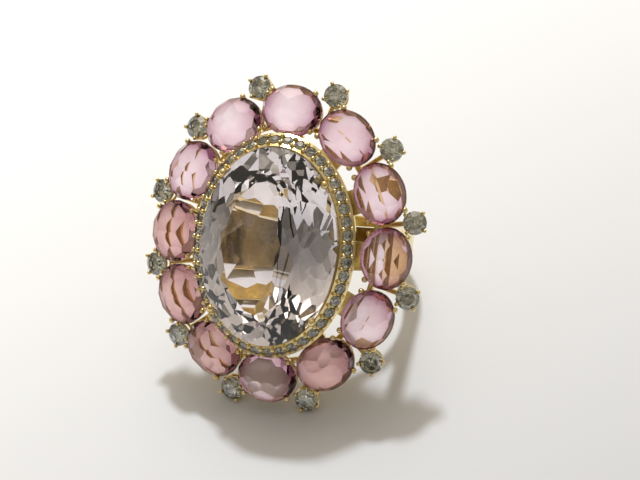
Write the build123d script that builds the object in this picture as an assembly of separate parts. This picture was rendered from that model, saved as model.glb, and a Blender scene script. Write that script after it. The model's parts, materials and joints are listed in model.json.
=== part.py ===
from build123d import *
from math import acos, atan2, cos, degrees, hypot, pi, radians, sin, sqrt, tan
import os

# A cocktail ring in yellow gold: an oval centre stone in a pave collar, a halo of twelve
# rose-cut ovals and, outside their junctions, twelve round brilliants. Sizes are in mm.
# The ring is modelled upright: X across the finger, Y along it, Z out to the stones, with
# the origin at the centre of the finger bore. The last step lays it back on a table.

# Finger bore and shank
finger_radius = 8.25
band_back_thickness = 1.4
band_bridge_thickness = 1.0
band_back_width = 3.4
band_bridge_width = 4.4
band_rounding = 0.5
bore_rounding = 0.15
shoulder_thickness = 1.2
saddle_length = 1.2

# Centre stone: an oval mixed cut
stone_width = 13.8
stone_length = 19.0
stone_girdle = 0.4
stone_crown = 2.1
stone_crown_slope = 36.0
stone_break_slope = 41.0
stone_star_slope = 23.0
stone_star_inset = 0.3
stone_mains = 12
stone_pavilion_slopes = (46.0, 41.0, 35.0, 27.0)
stone_pavilion_insets = (0.0, 1.3, 2.9, 4.6)
stone_pavilion_facets = (24, 16, 16, 8)
keel_clearance = 0.2

# Prongs of the centre stone
prong_turn = 43.0
prong_radius = 0.33
prong_bead_radius = 0.4
prong_bead_reach = 0.1
prong_bead_rise = 0.45

# Pave collar round the centre stone: a bevelled brim on a skirt, with a web to each oval
collar_top_reach = 0.12
collar_brim_reach = 1.3
collar_brim_drop = 1.18
collar_skirt_reach = 0.5
collar_skirt_wall = 0.5
collar_skirt_drop = 2.0
collar_seat_width = 0.4
collar_height = 3.9
web_width = 2.4
web_tuck = 0.35
web_root = 0.5
pave_count = 44
pave_diameter = 1.1
pave_girdle = 0.08
pave_crown = 0.18
pave_crown_slope = 32.0
pave_pavilion_slope = 38.0
pave_mains = 8

# Under-rail that ties the prong feet together
under_rail_inset = 2.0
under_rail_width = 0.9
under_rail_height = 0.8

# Halo of ovals
halo_count = 12
halo_side_reach = 3.9
halo_end_reach = 3.4
halo_drop = 3.1
halo_tilt = 10.0
oval_gap = 0.217
oval_width = 5.0
oval_girdle = 0.24
oval_crown = 1.75
oval_lower_slope = 60.0
oval_lower_facets = 12
oval_middle_slope = 33.0
oval_middle_inset = 0.5
oval_middle_rise = 0.8
oval_middle_facets = 6
oval_top_slope = 20.0
oval_top_facets = 6
oval_sides = 36
oval_base = 0.3
oval_base_slope = 25.0
oval_base_facets = 36
oval_rail_radius = 0.19
oval_rail_inset = 0.28
oval_foot_inset = 0.5
oval_foot_depth = 1.4
oval_prong_turn = 45.0
oval_prong_radius = 0.23
oval_bead_radius = 0.29
oval_bead_reach = 0.1
oval_bead_rise = 0.36

# Round brilliants outside the junctions of the ovals
round_reach = 2.52
round_drop = 1.0
round_tilt = 20.0
round_diameter = 2.3
round_girdle = 0.1
round_mains = 8
round_crown_slope = 34.0
round_break_slope = 40.0
round_pavilion_slope = 41.0
round_table_share = 0.56
round_rail_radius = 0.14
round_rail_inset = 0.2
round_foot_depth = 1.1
round_prong_turn = 45.0
round_prong_radius = 0.17
round_bead_radius = 0.2
round_bead_reach = 0.05
round_bead_rise = 0.22
round_stem_radius = 0.26

# Gallery rail under the halo
gallery_inset = 1.2
gallery_width = 0.6
gallery_height = 0.8
rail_rounding = 0.18

# Clearances between a stone and its seat, and at a soldered joint
seat_gap = 0.04
solder_gap = 0.03

# Halvings used to find the angle at which the ring rests
rest_halvings = 24


def pavilion_depths():
    """Depth below the girdle's edge at which each pavilion row starts, and last the keel's."""
    depths = [0.0]
    ends = (*stone_pavilion_insets[1:], stone_width / 2)
    for slope, start, end in zip(stone_pavilion_slopes, stone_pavilion_insets, ends):
        depths.append(depths[-1] + (end - start) * tan(radians(slope)))
    return depths


# Levels and outlines that follow from the sizes above
stone_depth = stone_girdle / 2 + pavilion_depths()[-1]
stone_height = finger_radius + band_bridge_thickness + keel_clearance + stone_depth
halo_half_width = stone_width / 2 + halo_side_reach
halo_half_length = stone_length / 2 + halo_end_reach
halo_height = stone_height - halo_drop
oval_length = Edge.make_ellipse(halo_half_length, halo_half_width).length / halo_count - oval_gap
web_space = max(halo_side_reach, halo_end_reach) - collar_skirt_reach - oval_width / 2
web_length = web_tuck + web_space + web_root
collar_top = stone_height - stone_girdle / 2 - seat_gap
under_rail_foot = finger_radius + band_bridge_thickness
under_rail_top = under_rail_foot + under_rail_height
gallery_shift = oval_foot_depth * sin(radians(halo_tilt)) + gallery_inset
gallery_half_width = halo_half_width - gallery_shift
gallery_half_length = halo_half_length - gallery_shift
oval_foot_drop = (oval_foot_depth + oval_rail_radius) * cos(radians(halo_tilt))
gallery_lift = (gallery_inset - gallery_width / 2) * tan(radians(halo_tilt))
gallery_drop = oval_foot_drop - gallery_lift + solder_gap
gallery_top = halo_height - gallery_drop
gallery_foot = gallery_top - gallery_height


def on_oval(half_x, half_y, turn, reach=0.0):
    """Point `reach` outside an oval at a turn (radians) from +X, and the outward direction."""
    size = hypot(cos(turn) / half_x, sin(turn) / half_y)
    out_x, out_y = cos(turn) / half_x / size, sin(turn) / half_y / size
    return (half_x * cos(turn) + reach * out_x, half_y * sin(turn) + reach * out_y), (out_x, out_y)


def four_turns(turn):
    """A turn and its mirror images about X and Y, in degrees."""
    return turn, 180 - turn, 180 + turn, -turn


def oval_place(half_x, half_y, share, height, lean=0.0):
    """Frame on an oval, a share of its length clockwise from +Y.

    X runs along the oval, Y outward, and Z leans outward by `lean` degrees.
    """
    path = Rot(0, 0, 90) * Edge.make_ellipse(half_y, half_x)
    along = -(path % (1 - share))
    outward = Vector(0, 0, 1).cross(along)
    normal = Vector(0, 0, cos(radians(lean))) + outward * sin(radians(lean))
    origin = path @ (1 - share) + Vector(0, 0, height)
    return Plane(origin=origin, x_dir=along, z_dir=normal).location


def flat_rail(half_x, half_y, width, foot, height):
    """Oval rail of flat wire with its long edges rounded."""
    outer = Ellipse(half_x + width / 2, half_y + width / 2)
    inner = Ellipse(half_x - width / 2, half_y - width / 2)
    rail = extrude(Pos(0, 0, foot) * (outer - inner), height)
    return fillet(rail.edges().filter_by(GeomType.ELLIPSE), rail_rounding)


def wire_oval(half_x, half_y):
    """Oval path, longer along X, of four arcs that meet where it runs at 45 degrees."""
    slant = sqrt(0.5)
    end_radius = half_y - (half_x - half_y) * slant
    joint_x = half_x - end_radius * (1 - slant)
    joint_y = end_radius * slant
    joints = [(joint_x, -joint_y), (joint_x, joint_y), (-joint_x, joint_y), (-joint_x, -joint_y)]
    middles = [(half_x, 0), (0, half_y), (-half_x, 0), (0, -half_y)]
    ends = joints[1:] + joints[:1]
    return Wire([ThreePointArc(*points).edge() for points in zip(joints, middles, ends)])


def round_rail(half_x, half_y, radius, height):
    """Oval rail of round wire."""
    path = Pos(0, 0, height) * wire_oval(half_x, half_y)
    return sweep(Plane(origin=path @ 0, z_dir=path % 0) * Circle(radius), path)


def rod(start, end, radius):
    """Straight round wire between two points."""
    start, end = Vector(*start), Vector(*end)
    return extrude(Plane(origin=start, z_dir=end - start) * Circle(radius), (end - start).length)


def ball_prong(start, tip, radius, bead_radius):
    """Prong wire with a ball at its tip."""
    return rod(start, tip, radius) + Pos(*tip) * Sphere(bead_radius)


def cut_gem(half_x, half_y, foot, table, sides, rows):
    """Gem cut from a many-sided oval blank, one plane per facet.

    A row is (facets, first, slope, inset, level): its planes pass that level at that inset
    from the outline, and a negative slope faces down. The planes of a row at the outline face
    square out from it, and those of the inner rows fan out evenly.
    """
    corners = [on_oval(half_x, half_y, 2 * pi * side / sides)[0] for side in range(sides)]
    gem = extrude(Pos(0, 0, foot) * Polygon(*corners, align=None), table - foot)
    for facets, first, slope, inset, level in rows:
        lean = radians(slope if slope > 0 else 180 + slope)
        for number in range(facets):
            turn = 2 * pi * (number + first) / facets
            (x, y), outward = on_oval(half_x, half_y, turn, -inset)
            aim_x, aim_y = (cos(turn), sin(turn)) if inset else outward
            normal = (aim_x * sin(lean), aim_y * sin(lean), cos(lean))
            gem = split(gem, Plane(origin=(x, y, level), z_dir=normal), Keep.BOTTOM)
    return gem


def center_gem(grow=0.0):
    """Oval mixed cut; the last of its pavilion rows leaves a keel along Y."""
    half_x, half_y = stone_width / 2 + grow, stone_length / 2 + grow
    edge = stone_girdle / 2 + grow
    table = edge + stone_crown
    table_inset = stone_crown / tan(radians(stone_crown_slope))
    rows = [
        (stone_mains, 0, stone_crown_slope, 0, edge),
        (2 * stone_mains, 0.5, stone_break_slope, 0, edge),
        (stone_mains, 0.5, stone_star_slope, table_inset + stone_star_inset, table),
    ]
    pavilion = zip(stone_pavilion_facets, stone_pavilion_slopes, stone_pavilion_insets, pavilion_depths())
    for number, (facets, slope, inset, depth) in enumerate(pavilion):
        first = 0.5 if number % 2 else 0
        rows.append((facets, first, -slope, inset, -edge - depth))
    gem = cut_gem(half_x, half_y, -stone_depth - 2 * grow, table, 4 * stone_mains, rows)
    return Pos(0, 0, stone_height) * gem


def oval_gem(grow=0.0):
    """Flat-based rose cut: three rows of crown facets that meet in a low point."""
    half_x, half_y = oval_length / 2 + grow, oval_width / 2 + grow
    edge = oval_girdle / 2 + grow
    peak = edge + oval_crown
    rows = [
        (oval_lower_facets, 0, oval_lower_slope, 0, edge),
        (oval_middle_facets, 0.5, oval_middle_slope, oval_middle_inset, edge + oval_middle_rise),
        (oval_top_facets, 0, oval_top_slope, oval_width / 2, peak),
        (oval_base_facets, 0, -oval_base_slope, 0, -edge),
    ]
    return cut_gem(half_x, half_y, -edge - oval_base, peak, oval_sides, rows)


def round_gem(grow=0.0):
    """Round brilliant."""
    radius, edge = round_diameter / 2 + grow, round_girdle / 2 + grow
    table_inset = radius * (1 - round_table_share)
    table = edge + table_inset * tan(radians(round_crown_slope))
    culet = edge + radius * tan(radians(round_pavilion_slope))
    rows = [
        (round_mains, 0, round_crown_slope, 0, edge),
        (2 * round_mains, 0.5, round_break_slope, 0, edge),
        (round_mains, 0, -round_pavilion_slope, 0, -edge),
    ]
    return cut_gem(radius, radius, -culet, table, 2 * round_mains, rows)


def pave_gem():
    """Single-cut pave stone."""
    radius, edge = pave_diameter / 2, pave_girdle / 2
    culet = edge + radius * tan(radians(pave_pavilion_slope))
    rows = [
        (pave_mains, 0.5, pave_crown_slope, 0, edge),
        (pave_mains, 0.5, -pave_pavilion_slope, 0, -edge),
    ]
    return cut_gem(radius, radius, -culet, edge + pave_crown, pave_mains, rows)


def pave_seat():
    """Drilled seat under a pave stone, open above its girdle."""
    radius = pave_diameter / 2 + seat_gap
    depth = radius * tan(radians(pave_pavilion_slope))
    cone = Pos(0, 0, -pave_girdle / 2 - depth / 2) * Cone(0, radius, depth)
    return cone + Pos(0, 0, -pave_girdle / 2 + pave_crown / 2) * Cylinder(radius, pave_crown)


def pave_places():
    """Frames on the middle of the brim, Z square to its slope."""
    reach = (collar_top_reach + collar_brim_reach) / 2
    half_x, half_y = stone_width / 2 + reach, stone_length / 2 + reach
    lean = degrees(atan2(collar_brim_drop, collar_brim_reach - collar_top_reach))
    for number in range(pave_count):
        share = (number + 0.5) / pave_count
        yield oval_place(half_x, half_y, share, collar_top - collar_brim_drop / 2, lean)


def halo_places(first):
    """Upright frames on the halo, one per oval, clockwise; `first` is in oval pitches."""
    for number in range(halo_count):
        share = (number + first) / halo_count
        yield oval_place(halo_half_width, halo_half_length, share, halo_height)


def center_prong_lines():
    """Foot and tip of each centre prong, from inside the under-rail up to the bead."""
    for turn in four_turns(prong_turn):
        half_x, half_y = stone_width / 2, stone_length / 2
        (foot_x, foot_y), _ = on_oval(half_x, half_y, radians(turn), -under_rail_inset)
        (tip_x, tip_y), _ = on_oval(half_x, half_y, radians(turn), prong_bead_reach)
        foot = (foot_x, foot_y, under_rail_foot + under_rail_height / 2)
        yield foot, (tip_x, tip_y, stone_height + prong_bead_rise)


def center_prongs(grown_gem):
    """Four separate ball-ended prongs that stand on the under-rail."""
    floor = Plane.XY.offset(under_rail_top + solder_gap)
    prongs = []
    for foot, tip in center_prong_lines():
        prong = ball_prong(foot, tip, prong_radius, prong_bead_radius) - grown_gem
        prongs.append(split(prong, floor, Keep.TOP))
    return prongs


def stone_outline(reach, drop):
    """Oval outline outside the centre stone's, at a drop below the collar's top."""
    outline = Ellipse(stone_width / 2 + reach, stone_length / 2 + reach)
    return (Pos(0, 0, collar_top - drop) * outline).face()


def collar_shell():
    """Bevelled brim that narrows again to an upright skirt."""
    top = stone_outline(collar_top_reach, 0)
    brim = stone_outline(collar_brim_reach, collar_brim_drop)
    neck = stone_outline(collar_skirt_reach, collar_skirt_drop)
    foot = stone_outline(collar_skirt_reach, collar_height)
    return loft([top, brim], ruled=True) + loft([brim, neck], ruled=True) + loft([neck, foot], ruled=True)


def collar_bore():
    """Opening under the gem: a narrow seat, then wider inside the skirt."""
    seat = extrude(stone_outline(-collar_seat_width, collar_height), collar_height, dir=(0, 0, 1))
    inside = stone_outline(collar_skirt_reach - collar_skirt_wall, collar_height)
    return seat + extrude(inside, collar_height - collar_skirt_drop, dir=(0, 0, 1))


def collar_web():
    """Flat web from the skirt to between the two rails of an oval basket, in the gem's frame."""
    top = -oval_rail_drop() - oval_rail_radius - solder_gap
    foot = -oval_foot_depth + oval_rail_radius + solder_gap
    middle = -oval_width / 2 + web_tuck - web_length / 2
    return Pos(0, middle, (top + foot) / 2) * Box(web_width, web_length, top - foot)


def pave_collar(grown_gem):
    """Collar with a bevelled seat for the gem, pave seats and a web to each oval basket."""
    webs = [place * Rot(-halo_tilt, 0, 0) * collar_web() for place in halo_places(0)]
    seats = [place * pave_seat() for place in pave_places()]
    wires = [rod(foot, tip, prong_radius + solder_gap) for foot, tip in center_prong_lines()]
    return collar_shell() + webs - collar_bore() - grown_gem - wires - seats


def under_rail():
    """Flat oval rail on the shank's saddles."""
    half_x, half_y = stone_width / 2 - under_rail_inset, stone_length / 2 - under_rail_inset
    return flat_rail(half_x, half_y, under_rail_width, under_rail_foot, under_rail_height)


def gallery_rail():
    """Flat oval rail that the oval baskets stand on."""
    return flat_rail(gallery_half_width, gallery_half_length, gallery_width, gallery_foot, gallery_height)


def oval_rail_drop():
    """Depth of the seat rail's centre: it touches the gem's sloping base but for the seat gap."""
    slope = radians(oval_base_slope)
    lift = (oval_rail_radius + seat_gap) / cos(slope)
    return oval_girdle / 2 + oval_rail_inset * tan(slope) + lift


def oval_basket(grown_gem):
    """Two round-wire rails joined by four ball prongs."""
    half_x, half_y = oval_length / 2, oval_width / 2
    seat_x, seat_y = half_x - oval_rail_inset, half_y - oval_rail_inset
    foot_x, foot_y = half_x - oval_foot_inset, half_y - oval_foot_inset
    seat_rail = round_rail(seat_x, seat_y, oval_rail_radius, -oval_rail_drop())
    wires = [round_rail(foot_x, foot_y, oval_rail_radius, -oval_foot_depth)]
    for turn in four_turns(oval_prong_turn):
        foot, _ = on_oval(half_x, half_y, radians(turn), -oval_foot_inset)
        tip, _ = on_oval(half_x, half_y, radians(turn), oval_bead_reach)
        start = (*foot, -oval_foot_depth - oval_rail_radius / 2)
        prong = ball_prong(start, (*tip, oval_bead_rise), oval_prong_radius, oval_bead_radius)
        wires.append(prong - grown_gem)
    return seat_rail + wires


def round_basket(grown_gem):
    """Two round rails, four ball prongs and a stem back to the gallery rail.

    It is drawn in the upright halo frame, so that the stem meets the rail at its own height.
    """
    radius = round_diameter / 2
    rail_radius = radius - round_rail_inset
    seat_depth = round_girdle / 2 + round_rail_inset * tan(radians(round_pavilion_slope))
    seat_depth += (round_rail_radius + seat_gap) / cos(radians(round_pavilion_slope))
    seat_rail = Pos(0, 0, -seat_depth) * Torus(rail_radius, round_rail_radius)
    wires = [Pos(0, 0, -round_foot_depth) * Torus(rail_radius, round_rail_radius)]
    for turn in four_turns(round_prong_turn):
        foot, _ = on_oval(rail_radius, rail_radius, radians(turn))
        tip, _ = on_oval(radius, radius, radians(turn), round_bead_reach)
        start = (*foot, -round_foot_depth - round_rail_radius)
        wires.append(ball_prong(start, (*tip, round_bead_rise), round_prong_radius, round_bead_radius))
    basket = round_seat() * (seat_rail + wires - grown_gem)
    rail_side = (0, gallery_width / 2 - gallery_shift + solder_gap, -gallery_drop - gallery_height / 2)
    heel = (round_seat() * Pos(0, -rail_radius, -round_foot_depth)).position
    return basket + rod(rail_side, heel, round_stem_radius)


def round_seat():
    """Place of a round brilliant in the upright halo frame."""
    return Pos(0, round_reach, -round_drop) * Rot(-round_tilt, 0, 0)


def shank():
    """Band that thickens to the back, with two shoulders and two saddles for the rails."""
    outer_radius = finger_radius + (band_back_thickness + band_bridge_thickness) / 2
    center_drop = (band_back_thickness - band_bridge_thickness) / 2
    shoulder_out = gallery_half_width + shoulder_thickness / 2
    shoulder_in = gallery_half_width - shoulder_thickness / 2
    top = gallery_foot - solder_gap
    distance = hypot(shoulder_out, top + center_drop)
    tangent = atan2(top + center_drop, shoulder_out) - acos(outer_radius / distance)
    touch = (outer_radius * cos(tangent), outer_radius * sin(tangent) - center_drop)
    side = Polygon(touch, (shoulder_out, top), (shoulder_in, top), (shoulder_in, 0), align=None)
    profile = Pos(0, -center_drop) * Circle(outer_radius) + side + mirror(side, Plane.YZ)
    saddle_x = stone_width / 2 - under_rail_inset
    saddle_top = under_rail_foot - solder_gap
    saddle = Pos(0, saddle_top / 2) * Rectangle(2 * saddle_x + saddle_length, saddle_top)
    gap = Pos(0, saddle_top / 2) * Rectangle(2 * saddle_x - saddle_length, saddle_top)
    profile = profile + (saddle - gap) - Circle(finger_radius)
    body = extrude(Plane.XZ * profile, band_bridge_width / 2, both=True)
    back, front = -finger_radius - band_back_thickness, top
    wedge = Polygon(
        (-band_back_width / 2, back),
        (band_back_width / 2, back),
        (band_bridge_width / 2, under_rail_foot),
        (band_bridge_width / 2, front),
        (-band_bridge_width / 2, front),
        (-band_bridge_width / 2, under_rail_foot),
        align=None,
    )
    body = body & extrude(Plane.YZ * wedge, shoulder_out, both=True)
    body = fillet(body.edges().filter_by(is_outer_edge), band_rounding)
    return fillet(body.edges().filter_by(is_bore_edge), bore_rounding)


def is_outer_edge(edge):
    """True for the long edges down the outside of the shoulders and round the back."""
    x, y, z = edge.center()
    beyond_band = hypot(x, z) > finger_radius + band_bridge_thickness / 2
    return abs(y) > band_back_width / 4 and beyond_band and (abs(x) > gallery_half_width or z < 0)


def is_bore_edge(edge):
    """True for the two edges of the finger bore, the only ones as long as its circle."""
    return edge.geom_type == GeomType.ELLIPSE and edge.length > pi * finger_radius


def lying_turn(front, back):
    """Turn about X, in degrees, that brings the ring down on its front and back pieces."""
    low, high = 0.0, 90.0
    for _ in range(rest_halvings):
        middle = (low + high) / 2
        front_foot = (Rot(middle, 0, 0) * front).bounding_box().min.Z
        back_foot = (Rot(middle, 0, 0) * back).bounding_box().min.Z
        low, high = (middle, high) if front_foot > back_foot else (low, middle)
    return middle


def ring_parts():
    """Every sub-part by name, in the upright frame."""
    grown_center = center_gem(seat_gap)
    parts = {
        "center_stone": center_gem(),
        "center_prongs": center_prongs(grown_center),
        "pave_collar": pave_collar(grown_center),
        "pave_stones": [place * pave_gem() for place in pave_places()],
        "under_rail": under_rail(),
        "gallery_rail": gallery_rail(),
        "shank": shank(),
    }
    oval_stone, basket = oval_gem(), oval_basket(oval_gem(seat_gap))
    for number, place in enumerate(halo_places(0), 1):
        tilted = place * Rot(-halo_tilt, 0, 0)
        parts[f"oval_stone_{number:02d}"] = tilted * oval_stone
        parts[f"oval_basket_{number:02d}"] = tilted * basket
    brilliant = round_seat() * round_gem()
    basket = round_basket(round_gem(seat_gap))
    for number, place in enumerate(halo_places(0.5), 1):
        parts[f"round_stone_{number:02d}"] = place * brilliant
        parts[f"round_basket_{number:02d}"] = place * basket
    return parts


def main():
    """Build the ring, lay it down and write one file per sub-part."""
    os.makedirs("parts", exist_ok=True)
    parts = ring_parts()
    lay_down = Rot(lying_turn(parts["round_basket_06"], parts["shank"]), 0, 0)
    for name, part in parts.items():
        solids = part if isinstance(part, list) else [part]
        shape = Compound(children=[lay_down * solid for solid in solids])
        shape.label = name
        export_step(shape, f"parts/{name}.step")


if __name__ == "__main__":
    main()
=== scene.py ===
import bmesh
import bpy
import json
from math import atan2, cos, radians, sin
from mathutils import Matrix, Vector


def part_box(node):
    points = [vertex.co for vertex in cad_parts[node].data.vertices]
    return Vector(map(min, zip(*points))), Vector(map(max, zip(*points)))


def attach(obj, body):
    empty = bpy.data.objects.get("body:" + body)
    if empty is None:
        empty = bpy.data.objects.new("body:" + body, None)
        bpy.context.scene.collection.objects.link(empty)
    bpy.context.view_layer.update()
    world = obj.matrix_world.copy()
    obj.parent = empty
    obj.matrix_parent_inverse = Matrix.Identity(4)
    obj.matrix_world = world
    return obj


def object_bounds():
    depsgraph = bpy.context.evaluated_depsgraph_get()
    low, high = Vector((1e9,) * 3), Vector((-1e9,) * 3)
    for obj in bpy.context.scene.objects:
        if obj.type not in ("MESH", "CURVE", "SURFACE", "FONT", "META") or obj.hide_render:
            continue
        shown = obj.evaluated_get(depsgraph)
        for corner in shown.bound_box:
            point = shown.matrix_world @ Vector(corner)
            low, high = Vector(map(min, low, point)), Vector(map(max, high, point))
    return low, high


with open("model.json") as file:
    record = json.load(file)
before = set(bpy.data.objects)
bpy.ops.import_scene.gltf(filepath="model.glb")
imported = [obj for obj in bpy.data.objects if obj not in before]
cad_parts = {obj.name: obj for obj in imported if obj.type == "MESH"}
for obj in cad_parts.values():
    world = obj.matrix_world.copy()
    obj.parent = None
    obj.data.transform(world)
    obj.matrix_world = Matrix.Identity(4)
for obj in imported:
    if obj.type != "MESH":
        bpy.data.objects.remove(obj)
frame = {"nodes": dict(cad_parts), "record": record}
cad_low, cad_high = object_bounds()

MM = 0.001
nodes = frame["nodes"]
slot_of = {part["node"]: part["material_slot"] for part in frame["record"]["subparts"]}


# ---------------------------------------------------------------- places read from the frame

def middle(node):
    """Middle of a CAD node's box."""
    low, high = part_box(node)
    return (low + high) / 2


halo = [name for name in nodes if name.startswith("oval_stone")]
head_center = sum((middle(name) for name in halo), Vector()) / len(halo)
finger_axis = Vector(frame["record"]["mounts"][0]["axis"])
across_axis = Vector((1, 0, 0))
floor_height = cad_low[2]


# ---------------------------------------------------------------- camera

VIEW_AZIMUTH = 24.2
VIEW_ELEVATION = 40.3
VIEW_ROLL = -8.7
VIEW_DISTANCE = 249.5 * MM
VIEW_LENS = 146.2
LOOK_RIGHT = 3.95 * MM
LOOK_UP = 0.5 * MM
CLIP_START = 1 * MM


def view_axes(azimuth, elevation, roll):
    """Right, up and back of a camera, where azimuth 0 looks along +Y."""
    azimuth, elevation, roll = radians(azimuth), radians(elevation), radians(roll)
    back = Vector((cos(elevation) * sin(azimuth), -cos(elevation) * cos(azimuth), sin(elevation)))
    level = Vector((cos(azimuth), sin(azimuth), 0))
    right = level * cos(roll) + back.cross(level) * sin(roll)
    return right, back.cross(right), back


def add_camera():
    """Long-lens camera that looks down on the head of the ring, a little from its right."""
    right, up, back = view_axes(VIEW_AZIMUTH, VIEW_ELEVATION, VIEW_ROLL)
    camera = bpy.data.objects.new("camera", bpy.data.cameras.new("camera"))
    camera.data.lens = VIEW_LENS
    camera.data.clip_start = CLIP_START
    place = head_center + right * LOOK_RIGHT + up * LOOK_UP + back * VIEW_DISTANCE
    turn = Matrix((right, up, back)).transposed().to_4x4()
    camera.matrix_world = Matrix.Translation(place) @ turn
    bpy.context.scene.collection.objects.link(camera)
    bpy.context.scene.camera = camera


# ---------------------------------------------------------------- shader helpers

NOISE_LOW = 0.3
NOISE_HIGH = 0.7
EDGE_ON_START = 0.25
EDGE_ON_END = 0.75


def map_range(tree, value, source, target=(0, 1)):
    """The value carried from the source range to the target range and held inside it."""
    made = tree.nodes.new("ShaderNodeMapRange")
    for name, number in zip(("From Min", "From Max", "To Min", "To Max"), (*source, *target)):
        made.inputs[name].default_value = number
    tree.links.new(value, made.inputs["Value"])
    return made.outputs["Result"]


class Shader:
    """A node material with one Principled shader."""

    def __init__(self, name):
        self.material = bpy.data.materials.new(name)
        self.material.use_nodes = True
        self.tree = self.material.node_tree
        self.principled = self.tree.nodes["Principled BSDF"]

    def node(self, kind, **settings):
        """A new node of this kind."""
        made = self.tree.nodes.new(kind)
        for key, value in settings.items():
            setattr(made, key, value)
        return made

    def link(self, source, target):
        """Links an output socket to an input socket."""
        self.tree.links.new(source, target)

    def put(self, **values):
        """Sets inputs of the Principled shader, with _ for each space in a name."""
        for key, value in values.items():
            self.principled.inputs[key.replace("_", " ")].default_value = value

    def feed(self, name, value):
        """Links a socket to an input of the Principled shader."""
        self.link(value, self.principled.inputs[name])

    def noise(self, size, detail, stretch=(1, 1, 1)):
        """Noise with features of about `size` metres, in the object's own coordinates."""
        coordinates = self.node("ShaderNodeTexCoord")
        mapping = self.node("ShaderNodeMapping")
        mapping.inputs["Scale"].default_value = Vector(stretch) / size
        noise = self.node("ShaderNodeTexNoise")
        noise.inputs["Scale"].default_value = 1.0
        noise.inputs["Detail"].default_value = detail
        self.link(coordinates.outputs["Object"], mapping.inputs["Vector"])
        self.link(mapping.outputs["Vector"], noise.inputs["Vector"])
        return noise.outputs["Fac"]

    def ramp(self, value, first, last):
        """Colour that runs from the first to the last of two (position, colour) stops."""
        ramp = self.node("ShaderNodeValToRGB")
        for element, (position, color) in zip(ramp.color_ramp.elements, (first, last)):
            element.position = position
            element.color = (*color, 1)
        self.link(value, ramp.inputs["Fac"])
        return ramp.outputs["Color"]

    def noise_ramp(self, noise, low, high):
        """Colour that runs from low to high over the usual range of a noise."""
        return self.ramp(noise, (NOISE_LOW, low), (NOISE_HIGH, high))

    def noise_spread(self, noise, low, high):
        """The usual range of a noise spread from low to high."""
        return map_range(self.tree, noise, (NOISE_LOW, NOISE_HIGH), (low, high))

    def edge_on(self):
        """0 on faces seen square on, 1 on faces seen at a low angle."""
        facing = self.node("ShaderNodeLayerWeight")
        facing.inputs["Blend"].default_value = 0.5
        return map_range(self.tree, facing.outputs["Facing"], (EDGE_ON_START, EDGE_ON_END))

    def by_distance(self, place, start, end):
        """0 at the distance `start` from a place and 1 at the distance `end`, in metres."""
        coordinates = self.node("ShaderNodeTexCoord")
        distance = self.node("ShaderNodeVectorMath", operation="DISTANCE")
        distance.inputs[1].default_value = place
        self.link(coordinates.outputs["Object"], distance.inputs[0])
        return map_range(self.tree, distance.outputs["Value"], (start, end))

    def mix(self, share, near, far):
        """A colour that turns from the near one, a socket, to the far one."""
        mix = self.node("ShaderNodeMix", data_type="RGBA")
        self.link(share, mix.inputs["Factor"])
        self.link(near, mix.inputs["A"])
        mix.inputs["B"].default_value = (*far, 1)
        return mix.outputs["Result"]

    def bump(self, height, depth, strength):
        """Fine relief of this depth in metres."""
        bump = self.node("ShaderNodeBump")
        bump.inputs["Distance"].default_value = depth
        bump.inputs["Strength"].default_value = strength
        self.link(height, bump.inputs["Height"])
        self.feed("Normal", bump.outputs["Normal"])


# ---------------------------------------------------------------- materials

GOLD_DARK = (0.74, 0.57, 0.23)
GOLD_LIGHT = (0.97, 0.81, 0.45)
GOLD_POLISHED = 0.10
GOLD_FILMED = 0.26
GOLD_WAVE_SIZE = 1.1 * MM
GOLD_FILM_SIZE = 0.35 * MM
SCRATCH_SIZE = 0.12 * MM
SCRATCH_STRETCH = (1, 6, 1)
SCRATCH_DEPTH = 0.004 * MM
SCRATCH_STRENGTH = 0.5


def polished_gold():
    """Yellow gold with hand-polishing waves, hairline scratches and a duller film in places."""
    shader = Shader("polished_gold")
    shader.put(Metallic=1.0)
    waves = shader.noise(GOLD_WAVE_SIZE, detail=3.0)
    shader.feed("Base Color", shader.noise_ramp(waves, GOLD_DARK, GOLD_LIGHT))
    film = shader.noise(GOLD_FILM_SIZE, detail=4.0)
    shader.feed("Roughness", shader.noise_spread(film, GOLD_POLISHED, GOLD_FILMED))
    scratches = shader.noise(SCRATCH_SIZE, detail=5.0, stretch=SCRATCH_STRETCH)
    shader.bump(scratches, SCRATCH_DEPTH, SCRATCH_STRENGTH)
    return shader.material


MARK_SIZE = 0.25 * MM
MARK_ROUGHNESS = 0.015


def cut_stone(name, pale, deep, rim_shade, index, zone_size, core=None, dark_reflection=None):
    """Transparent faceted stone with soft colour zones, and painted shade towards its rim.

    The rim is where the stone is seen edge-on, and outside its core when it has one; its colour
    is painted shade for the dark metal and room seen in the rim facets. A core is a place and the
    distances where the rim's painted shade starts and is full. A painted dark reflection is a
    place and the distances where it starts, coming from outside, and is full.
    """
    shader = Shader(name)
    shader.put(Transmission_Weight=1.0, IOR=index)
    # Random colour zones; on the white stones these are painted reflections.
    body = shader.noise_ramp(shader.noise(zone_size, detail=1.0), pale, deep)
    # Painted shade on facets seen edge-on, for the dark metal seen through them.
    body = shader.mix(shader.edge_on(), body, rim_shade)
    if core:
        # Painted shade outside the core, towards the rim.
        body = shader.mix(shader.by_distance(*core), body, rim_shade)
    # Painted dark reflection over part of the stone, for the dark room seen through it.
    if dark_reflection:
        body = shader.mix(shader.by_distance(*dark_reflection), body, DARK_REFLECTION)
    shader.feed("Base Color", body)
    marks = shader.noise(MARK_SIZE, detail=3.0)
    shader.feed("Roughness", shader.noise_spread(marks, 0.0, MARK_ROUGHNESS))
    return shader.material


# Tones of a stone: pale and deep colour of its body, and the painted shade of its rim.
LILAC = ((0.97, 0.92, 0.95), (0.90, 0.83, 0.86), (0.84, 0.76, 0.80))
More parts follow.
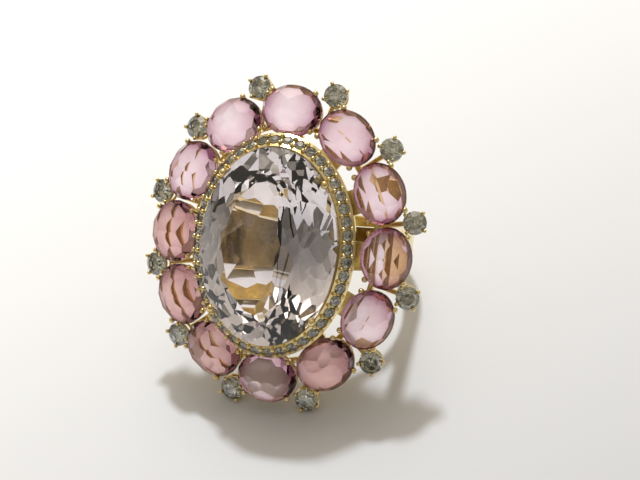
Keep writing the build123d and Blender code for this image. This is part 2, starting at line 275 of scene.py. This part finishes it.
# White stones: the noise runs from white to painted dark olive reflections of the gold and room
# seen inside.
WHITE_PAINTED_REFLECTIONS = ((1.0, 1.0, 0.90), (0.20, 0.21, 0.11), (0.50, 0.50, 0.32))
PALE_PINK = ((0.96, 0.83, 0.89), (0.88, 0.64, 0.73), (0.32, 0.10, 0.18))
ROSE = ((0.84, 0.57, 0.55), (0.68, 0.38, 0.38), (0.28, 0.11, 0.13))
# Colour of the painted dark reflection in the centre stone.
DARK_REFLECTION = (0.12, 0.14, 0.20)

CENTER_INDEX = 1.66
CENTER_ZONE = 6 * MM
# Place and reach of the painted dark reflection in the centre stone.
DARK_REFLECTION_SHIFT = 2.9 * MM
DARK_REFLECTION_STARTS = 5.0 * MM
DARK_REFLECTION_FULL = 2.0 * MM

OVAL_INDEX = 1.70
OVAL_ZONE = 2 * MM
ROSE_OVALS = (6, 8, 9, 10)
# Distances from an oval's middle where its painted rim shade starts and is full.
RIM_SHADE_STARTS = 1.6 * MM
RIM_SHADE_FULL = 2.7 * MM

SMALL_INDEX = 2.42
# Size of the painted reflection patches on the small stones.
SMALL_REFLECTION_SIZE = 0.35 * MM


def center_stone():
    """Pale stone with a painted dark reflection beside its middle, towards +X."""
    place = middle("center_stone") + across_axis * DARK_REFLECTION_SHIFT
    patch = (place, DARK_REFLECTION_STARTS, DARK_REFLECTION_FULL)
    return cut_stone("pale_center_stone", *LILAC, CENTER_INDEX, CENTER_ZONE, dark_reflection=patch)


def oval_stone(name):
    """Pink stone of the halo, and a deeper rose for some at the foot of the halo."""
    tones = ROSE if int(name[-2:]) in ROSE_OVALS else PALE_PINK
    # Painted shade towards the oval's rim, outside this core.
    core = (middle(name), RIM_SHADE_STARTS, RIM_SHADE_FULL)
    return cut_stone(f"pink_{name}", *tones, OVAL_INDEX, OVAL_ZONE, core=core)


def small_stone():
    """White stone with small grey-green patches of painted reflection and painted shade at its
    rim, for the outer rounds and the pave.
    """
    return cut_stone("small_white_stone", *WHITE_PAINTED_REFLECTIONS, SMALL_INDEX, SMALL_REFLECTION_SIZE)


def dress_nodes(gold):
    """Gives every CAD node the material of its slot."""
    shared = {"gold": gold, "center_gem": center_stone(), "diamond": small_stone()}
    for name, node in nodes.items():
        slot = slot_of[name]
        node.data.materials.clear()
        node.data.materials.append(oval_stone(name) if slot == "oval_gem" else shared[slot])


# ---------------------------------------------------------------- beads of the pave row

BEAD_RADIUS = 0.24 * MM
BEAD_STRETCH = 1.25
BEAD_SIDE = 0.44 * MM
BEAD_SINK = 0.12 * MM
BEAD_SUBDIVISIONS = 2
WELD_DISTANCE = 0.001 * MM
NORMAL_DIGITS = 2


def islands(shape):
    """Vertices of each separate solid in a mesh."""
    waiting = set(shape.verts)
    while waiting:
        island = [waiting.pop()]
        for vertex in island:
            for edge in vertex.link_edges:
                other = edge.other_vert(vertex)
                if other in waiting:
                    waiting.remove(other)
                    island.append(other)
        yield island


def table_of(island):
    """Middle and outward direction of a stone's table, its largest flat face."""
    flats = {}  # faces of each direction, rounded so that one facet's triangles share it
    for face in {face for vertex in island for face in vertex.link_faces}:
        key = tuple(round(part, NORMAL_DIGITS) for part in face.normal)
        flats.setdefault(key, []).append(face)
    table = max(flats.values(), key=lambda faces: sum(face.calc_area() for face in faces))
    corners = {vertex for face in table for vertex in face.verts}
    return sum((vertex.co for vertex in corners), Vector()) / len(corners), table[0].normal.copy()


def pave_tables():
    """Table middle and direction of every pave stone, in order round the row."""
    shape = bmesh.new()
    shape.from_mesh(nodes["pave_stones"].data)
    bmesh.ops.remove_doubles(shape, verts=shape.verts, dist=WELD_DISTANCE)
    tables = [table_of(island) for island in islands(shape)]
    shape.free()

    def turn_of(table):
        arm = table[0] - head_center
        return atan2(arm.dot(finger_axis), arm.dot(across_axis))

    return sorted(tables, key=turn_of)


def add_beads(gold):
    """Gold grains raised from the brim between neighbouring pave stones, two in every gap."""
    tables = pave_tables()
    shape = bmesh.new()
    for (here, here_up), (there, there_up) in zip(tables, tables[1:] + tables[:1]):
        up = (here_up + there_up).normalized()
        along = (there - here).normalized()
        side = up.cross(along).normalized()
        middle_of_gap = (here + there) / 2 - up * BEAD_SINK
        axes = Matrix((along, side, up)).transposed().to_4x4()
        dome = axes @ Matrix.Diagonal((1, 1, BEAD_STRETCH, 1))
        for way in (1, -1):
            matrix = Matrix.Translation(middle_of_gap + side * BEAD_SIDE * way) @ dome
            bmesh.ops.create_icosphere(
                shape, subdivisions=BEAD_SUBDIVISIONS, radius=BEAD_RADIUS, matrix=matrix
            )
    for face in shape.faces:
        face.smooth = True
    mesh = bpy.data.meshes.new("pave_beads")
    shape.to_mesh(mesh)
    shape.free()
    mesh.materials.append(gold)
    beads = bpy.data.objects.new("pave_beads", mesh)
    bpy.context.scene.collection.objects.link(beads)
    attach(beads, "root")


# ---------------------------------------------------------------- floor, world and lamp

FLOOR_SIZE = 3.0
# Floor colour runs from light to a painted shade, for the key light falling off across the paper.
FLOOR_LIGHT = (0.915, 0.93, 0.955)
FLOOR_PAINTED_SHADE = (0.61, 0.62, 0.645)
FLOOR_ROUGHNESS = 0.9
FLOOR_SHEEN = 0.2
FADE_REACH = 40 * MM
FADE_RIGHT = 0.4
FADE_BACK = 0.9
KEY_AZIMUTH = 197.5
KEY_ELEVATION = 58.5
KEY_COLOR = (0.92, 0.96, 1.0)
KEY_STRENGTH = 2.0
KEY_SPREAD = 5.0
WORLD_BRIGHT = 0.60
WORLD_DIM = 0.06
WORLD_DIM_FROM = -0.6
WORLD_BRIGHT_FROM = 0.8
WORLD_COLOR = (1.0, 0.90, 0.76)
GLOW_WIDTH = 22.0
GLOW_STRENGTH = 3.0


def floor_material(fade):
    """Plain matt paper with painted shade, darker along the direction `fade`, for the light
    falling off.
    """
    shader = Shader("studio_paper")
    shader.put(Roughness=FLOOR_ROUGHNESS, Specular_IOR_Level=FLOOR_SHEEN)
    coordinates = shader.node("ShaderNodeTexCoord")
    along = shader.node("ShaderNodeVectorMath", operation="DOT_PRODUCT")
    along.inputs[1].default_value = fade
    shader.link(coordinates.outputs["Object"], along.inputs[0])
    place = map_range(shader.tree, along.outputs["Value"], (-FADE_REACH, FADE_REACH))
    shader.feed("Base Color", shader.ramp(place, (0, FLOOR_LIGHT), (1, FLOOR_PAINTED_SHADE)))
    return shader.material


def add_floor():
    """Paper under the ring, with painted shade that darkens it towards the viewer's right and the
    foot of the view.
    """
    right, _, back = view_axes(VIEW_AZIMUTH, 0, 0)
    mesh = bpy.data.meshes.new("floor")
    half = FLOOR_SIZE / 2
    corners = [(-half, -half, 0), (half, -half, 0), (half, half, 0), (-half, half, 0)]
    mesh.from_pydata(corners, [], [(0, 1, 2, 3)])
    floor = bpy.data.objects.new("floor", mesh)
    floor.location = (0, 0, floor_height)
    mesh.materials.append(floor_material((right * FADE_RIGHT + back * FADE_BACK).normalized()))
    bpy.context.scene.collection.objects.link(floor)


def add_key():
    """One soft lamp behind the ring, which throws its shadow towards the viewer."""
    _, _, back = view_axes(KEY_AZIMUTH, KEY_ELEVATION, 0)
    lamp = bpy.data.lights.new("key", "SUN")
    lamp.energy = KEY_STRENGTH
    lamp.angle = radians(KEY_SPREAD)
    lamp.color = KEY_COLOR
    key = bpy.data.objects.new("key", lamp)
    key.rotation_euler = back.to_track_quat("Z", "Y").to_euler()
    bpy.context.scene.collection.objects.link(key)


def add_world():
    """Soft room light, bright behind the ring, with a glow round the key, and dimmer in front."""
    _, _, toward_key = view_axes(KEY_AZIMUTH, KEY_ELEVATION, 0)
    world = bpy.data.worlds.new("studio")
    world.use_nodes = True
    tree = world.node_tree
    coordinates = tree.nodes.new("ShaderNodeTexCoord")
    facing = tree.nodes.new("ShaderNodeVectorMath")
    facing.operation = "DOT_PRODUCT"
    facing.inputs[1].default_value = toward_key
    tree.links.new(coordinates.outputs["Generated"], facing.inputs[0])
    toward = facing.outputs["Value"]
    room = map_range(tree, toward, (WORLD_DIM_FROM, WORLD_BRIGHT_FROM), (WORLD_DIM, WORLD_BRIGHT))
    glow = map_range(tree, toward, (cos(radians(GLOW_WIDTH)), 1), (0, GLOW_STRENGTH))
    total = tree.nodes.new("ShaderNodeMath")
    total.operation = "ADD"
    tree.links.new(room, total.inputs[0])
    tree.links.new(glow, total.inputs[1])
    background = tree.nodes["Background"]
    tree.links.new(total.outputs["Value"], background.inputs["Strength"])
    background.inputs["Color"].default_value = (*WORLD_COLOR, 1)
    bpy.context.scene.world = world


# ---------------------------------------------------------------- the scene

gold = polished_gold()
dress_nodes(gold)
add_beads(gold)
add_camera()
add_floor()
add_key()
add_world()
bpy.context.scene.view_settings.view_transform = "Standard"
